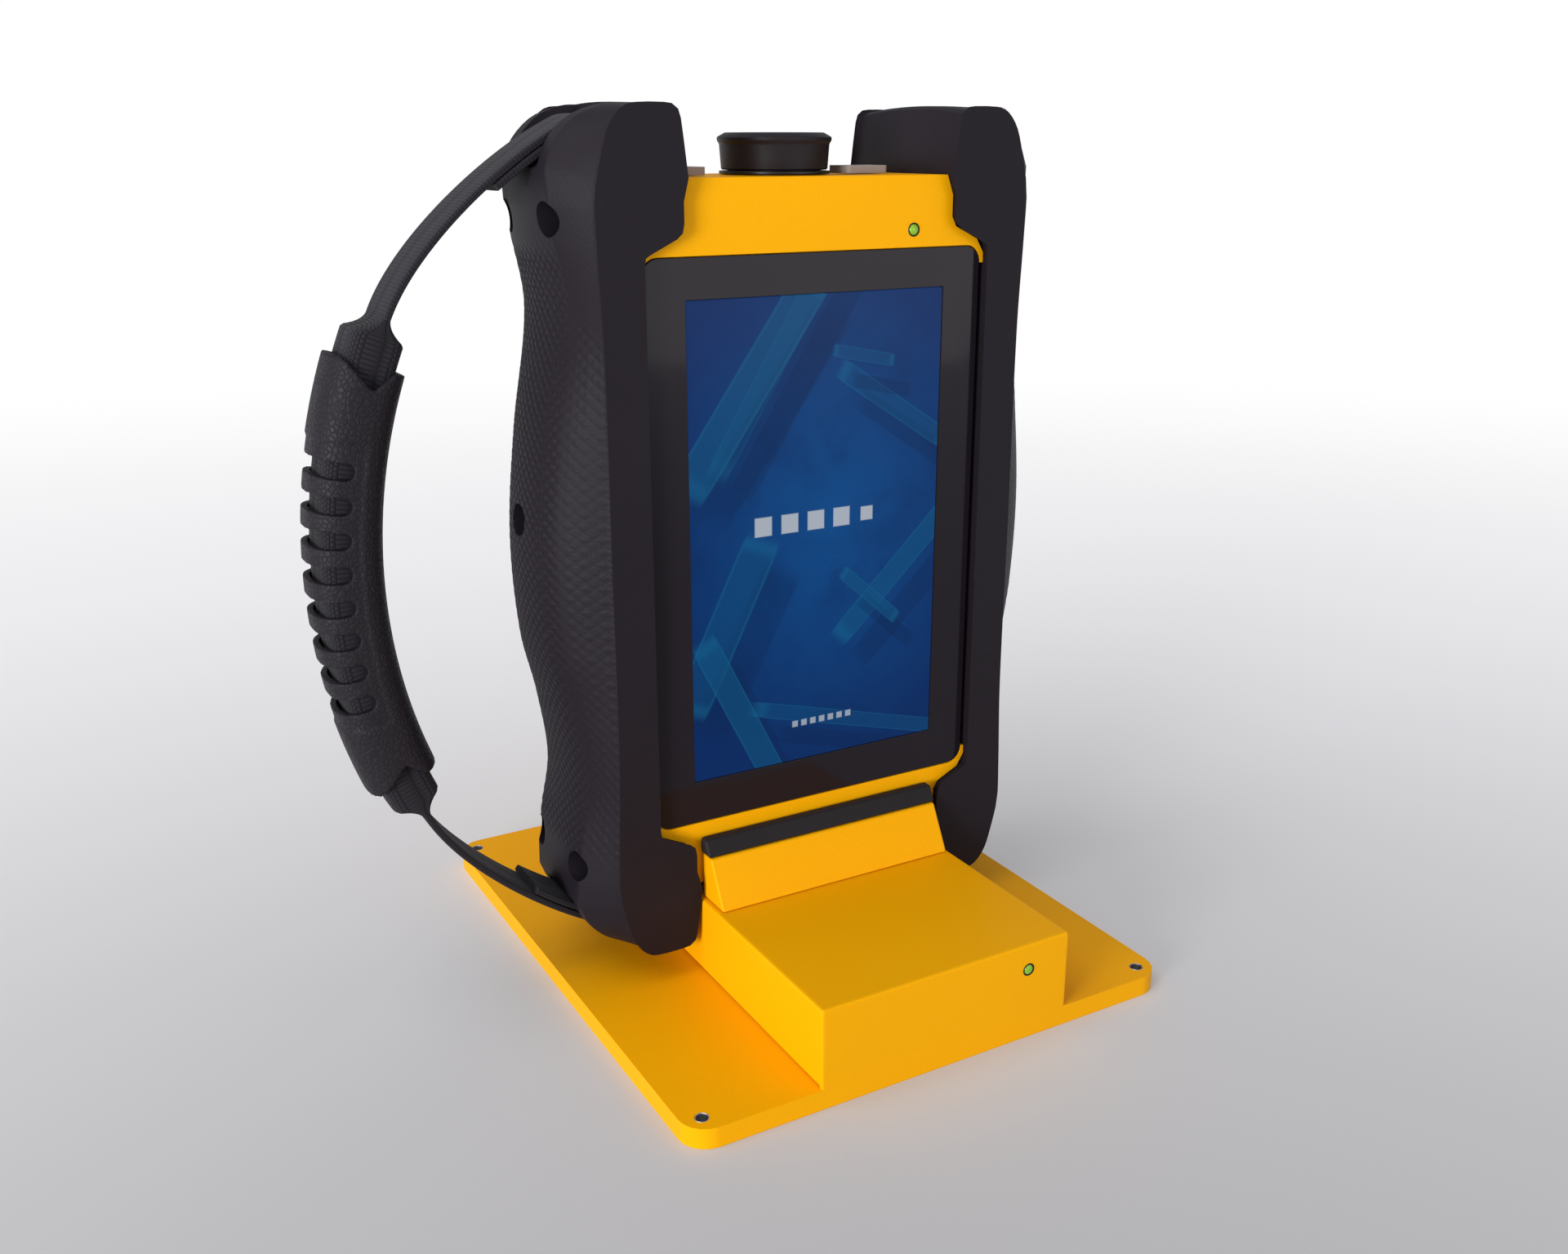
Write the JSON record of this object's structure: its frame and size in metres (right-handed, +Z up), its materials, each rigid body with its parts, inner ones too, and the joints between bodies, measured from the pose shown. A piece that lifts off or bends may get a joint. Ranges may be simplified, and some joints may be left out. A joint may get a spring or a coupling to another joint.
{
  "type": "handheld data collector in its charging dock",
  "caption": "Rugged handheld data collector with a tall display, two side grips, a strap with a slotted handle and a capped connector, standing in a bolt-down charging dock.",
  "frame": {"origin": "middle of the dock plate's underside", "axes": "+Z up along the handheld's height, -Y towards the front of the display, -X towards the hand strap"},
  "size_m": [0.2472, 0.2086, 0.2812],
  "materials": {
    "yellow_paint": "fine-grained satin powder coat",
    "black_rubber": "matte moulded rubber",
    "black_plastic": "matte",
    "grip_polymer": "matte, knurled on the flanks",
    "grey_rubber": "matte",
    "black_glass": "polished, with a clear window over the display",
    "lit_screen": "lit picture in blues",
    "steel": "satin",
    "contact_gold": "gold-plated",
    "black_anodised": "black anodised",
    "circuit_board": "solder mask",
    "battery_wrap": "shrink wrap",
    "green_led": "lit lens",
    "webbing": "coarse woven webbing",
    "sleeve_rubber": "grained like leather"
  },
  "bodies": {
    "dock": {"dock_base_plate": "yellow_paint", "dock_housing": "yellow_paint", "front_rest": "yellow_paint", "front_rest_pad": "black_rubber", "rear_rest": "yellow_paint", "rear_rest_pad": "black_rubber", "left_seat_pad": "black_rubber", "right_seat_pad": "black_rubber", "contact_block": "black_plastic", "dock_circuit_board": "circuit_board", "dock_status_led": "green_led", "power_inlet": "black_plastic", "dock_screw_1": "steel", "dock_screw_2": "steel", "dock_screw_3": "steel", "dock_screw_4": "steel"},
    "contacts": {"dock_contacts": "contact_gold"},
    "handheld": {"main_housing": "yellow_paint", "rear_cover": "yellow_paint", "housing_gasket": "black_rubber", "battery_door": "yellow_paint", "battery_door_screw_1": "steel", "battery_door_screw_2": "steel", "battery_pack": "battery_wrap", "front_glass": "black_glass", "display_panel": "lit_screen", "display_bracket": "steel", "main_board": "circuit_board", "unit_contact_plate": "contact_gold", "unit_status_led": "green_led", "data_connector_shell": "black_anodised", "data_connector_insert": "black_rubber", "connector_ribbon": "black_rubber", "left_port": "steel", "right_port": "steel", "left_grip": "grip_polymer", "right_grip": "grip_polymer", "left_top_strap_bar": "steel", "left_bottom_strap_bar": "steel", "right_top_strap_bar": "steel", "right_bottom_strap_bar": "steel", "left_grip_screw_1": "steel", "left_grip_screw_2": "steel", "left_grip_screw_3": "steel", "left_grip_screw_4": "steel", "left_grip_screw_5": "steel", "right_grip_screw_1": "steel", "right_grip_screw_2": "steel", "right_grip_screw_3": "steel", "right_grip_screw_4": "steel", "right_grip_screw_5": "steel", "upper_strap": "webbing", "lower_strap": "webbing"},
    "cap": {"connector_cap": "black_plastic"},
    "left_cover": {"left_port_cover": "grey_rubber"},
    "right_cover": {"right_port_cover": "grey_rubber"},
    "button": {"power_button": "black_rubber"},
    "handle": {"handle_sleeve": "sleeve_rubber", "handle_core": "webbing"}
  },
  "joints": [
    {"name": "handheld_lift", "type": "slide", "parent": "dock", "child": "handheld", "axis": [0, 0, 1], "range_m": [0, 0.08]},
    {"name": "cap_pull", "type": "slide", "parent": "handheld", "child": "cap", "axis": [0, 0, 1], "range_m": [0, 0.03]},
    {"name": "left_cover_hinge", "type": "hinge", "parent": "handheld", "child": "left_cover", "pos_m": [-0.0374, 0.004, 0.2632], "axis": [-1, 0, 0], "range_deg": [0, 100]},
    {"name": "right_cover_hinge", "type": "hinge", "parent": "handheld", "child": "right_cover", "pos_m": [0.0272, 0.004, 0.2632], "axis": [-1, 0, 0], "range_deg": [0, 100]},
    {"name": "button_press", "type": "slide", "parent": "handheld", "child": "button", "axis": [0, 0, -1], "range_m": [0, 0.0008], "stiffness_N_per_m": 1500, "springref_m": -0.0005},
    {"name": "contact_spring", "type": "slide", "parent": "dock", "child": "contacts", "axis": [0, 0, -1], "range_m": [0, 0.001], "stiffness_N_per_m": 600, "springref_m": -0.0005},
    {"name": "strap_swing", "type": "hinge", "parent": "handheld", "child": "handle", "pos_m": [-0.068, 0.002, 0.1492], "axis": [0, 0, 1], "range_deg": [-20, 20], "stiffness_Nm_per_rad": 0.05}
  ]
}
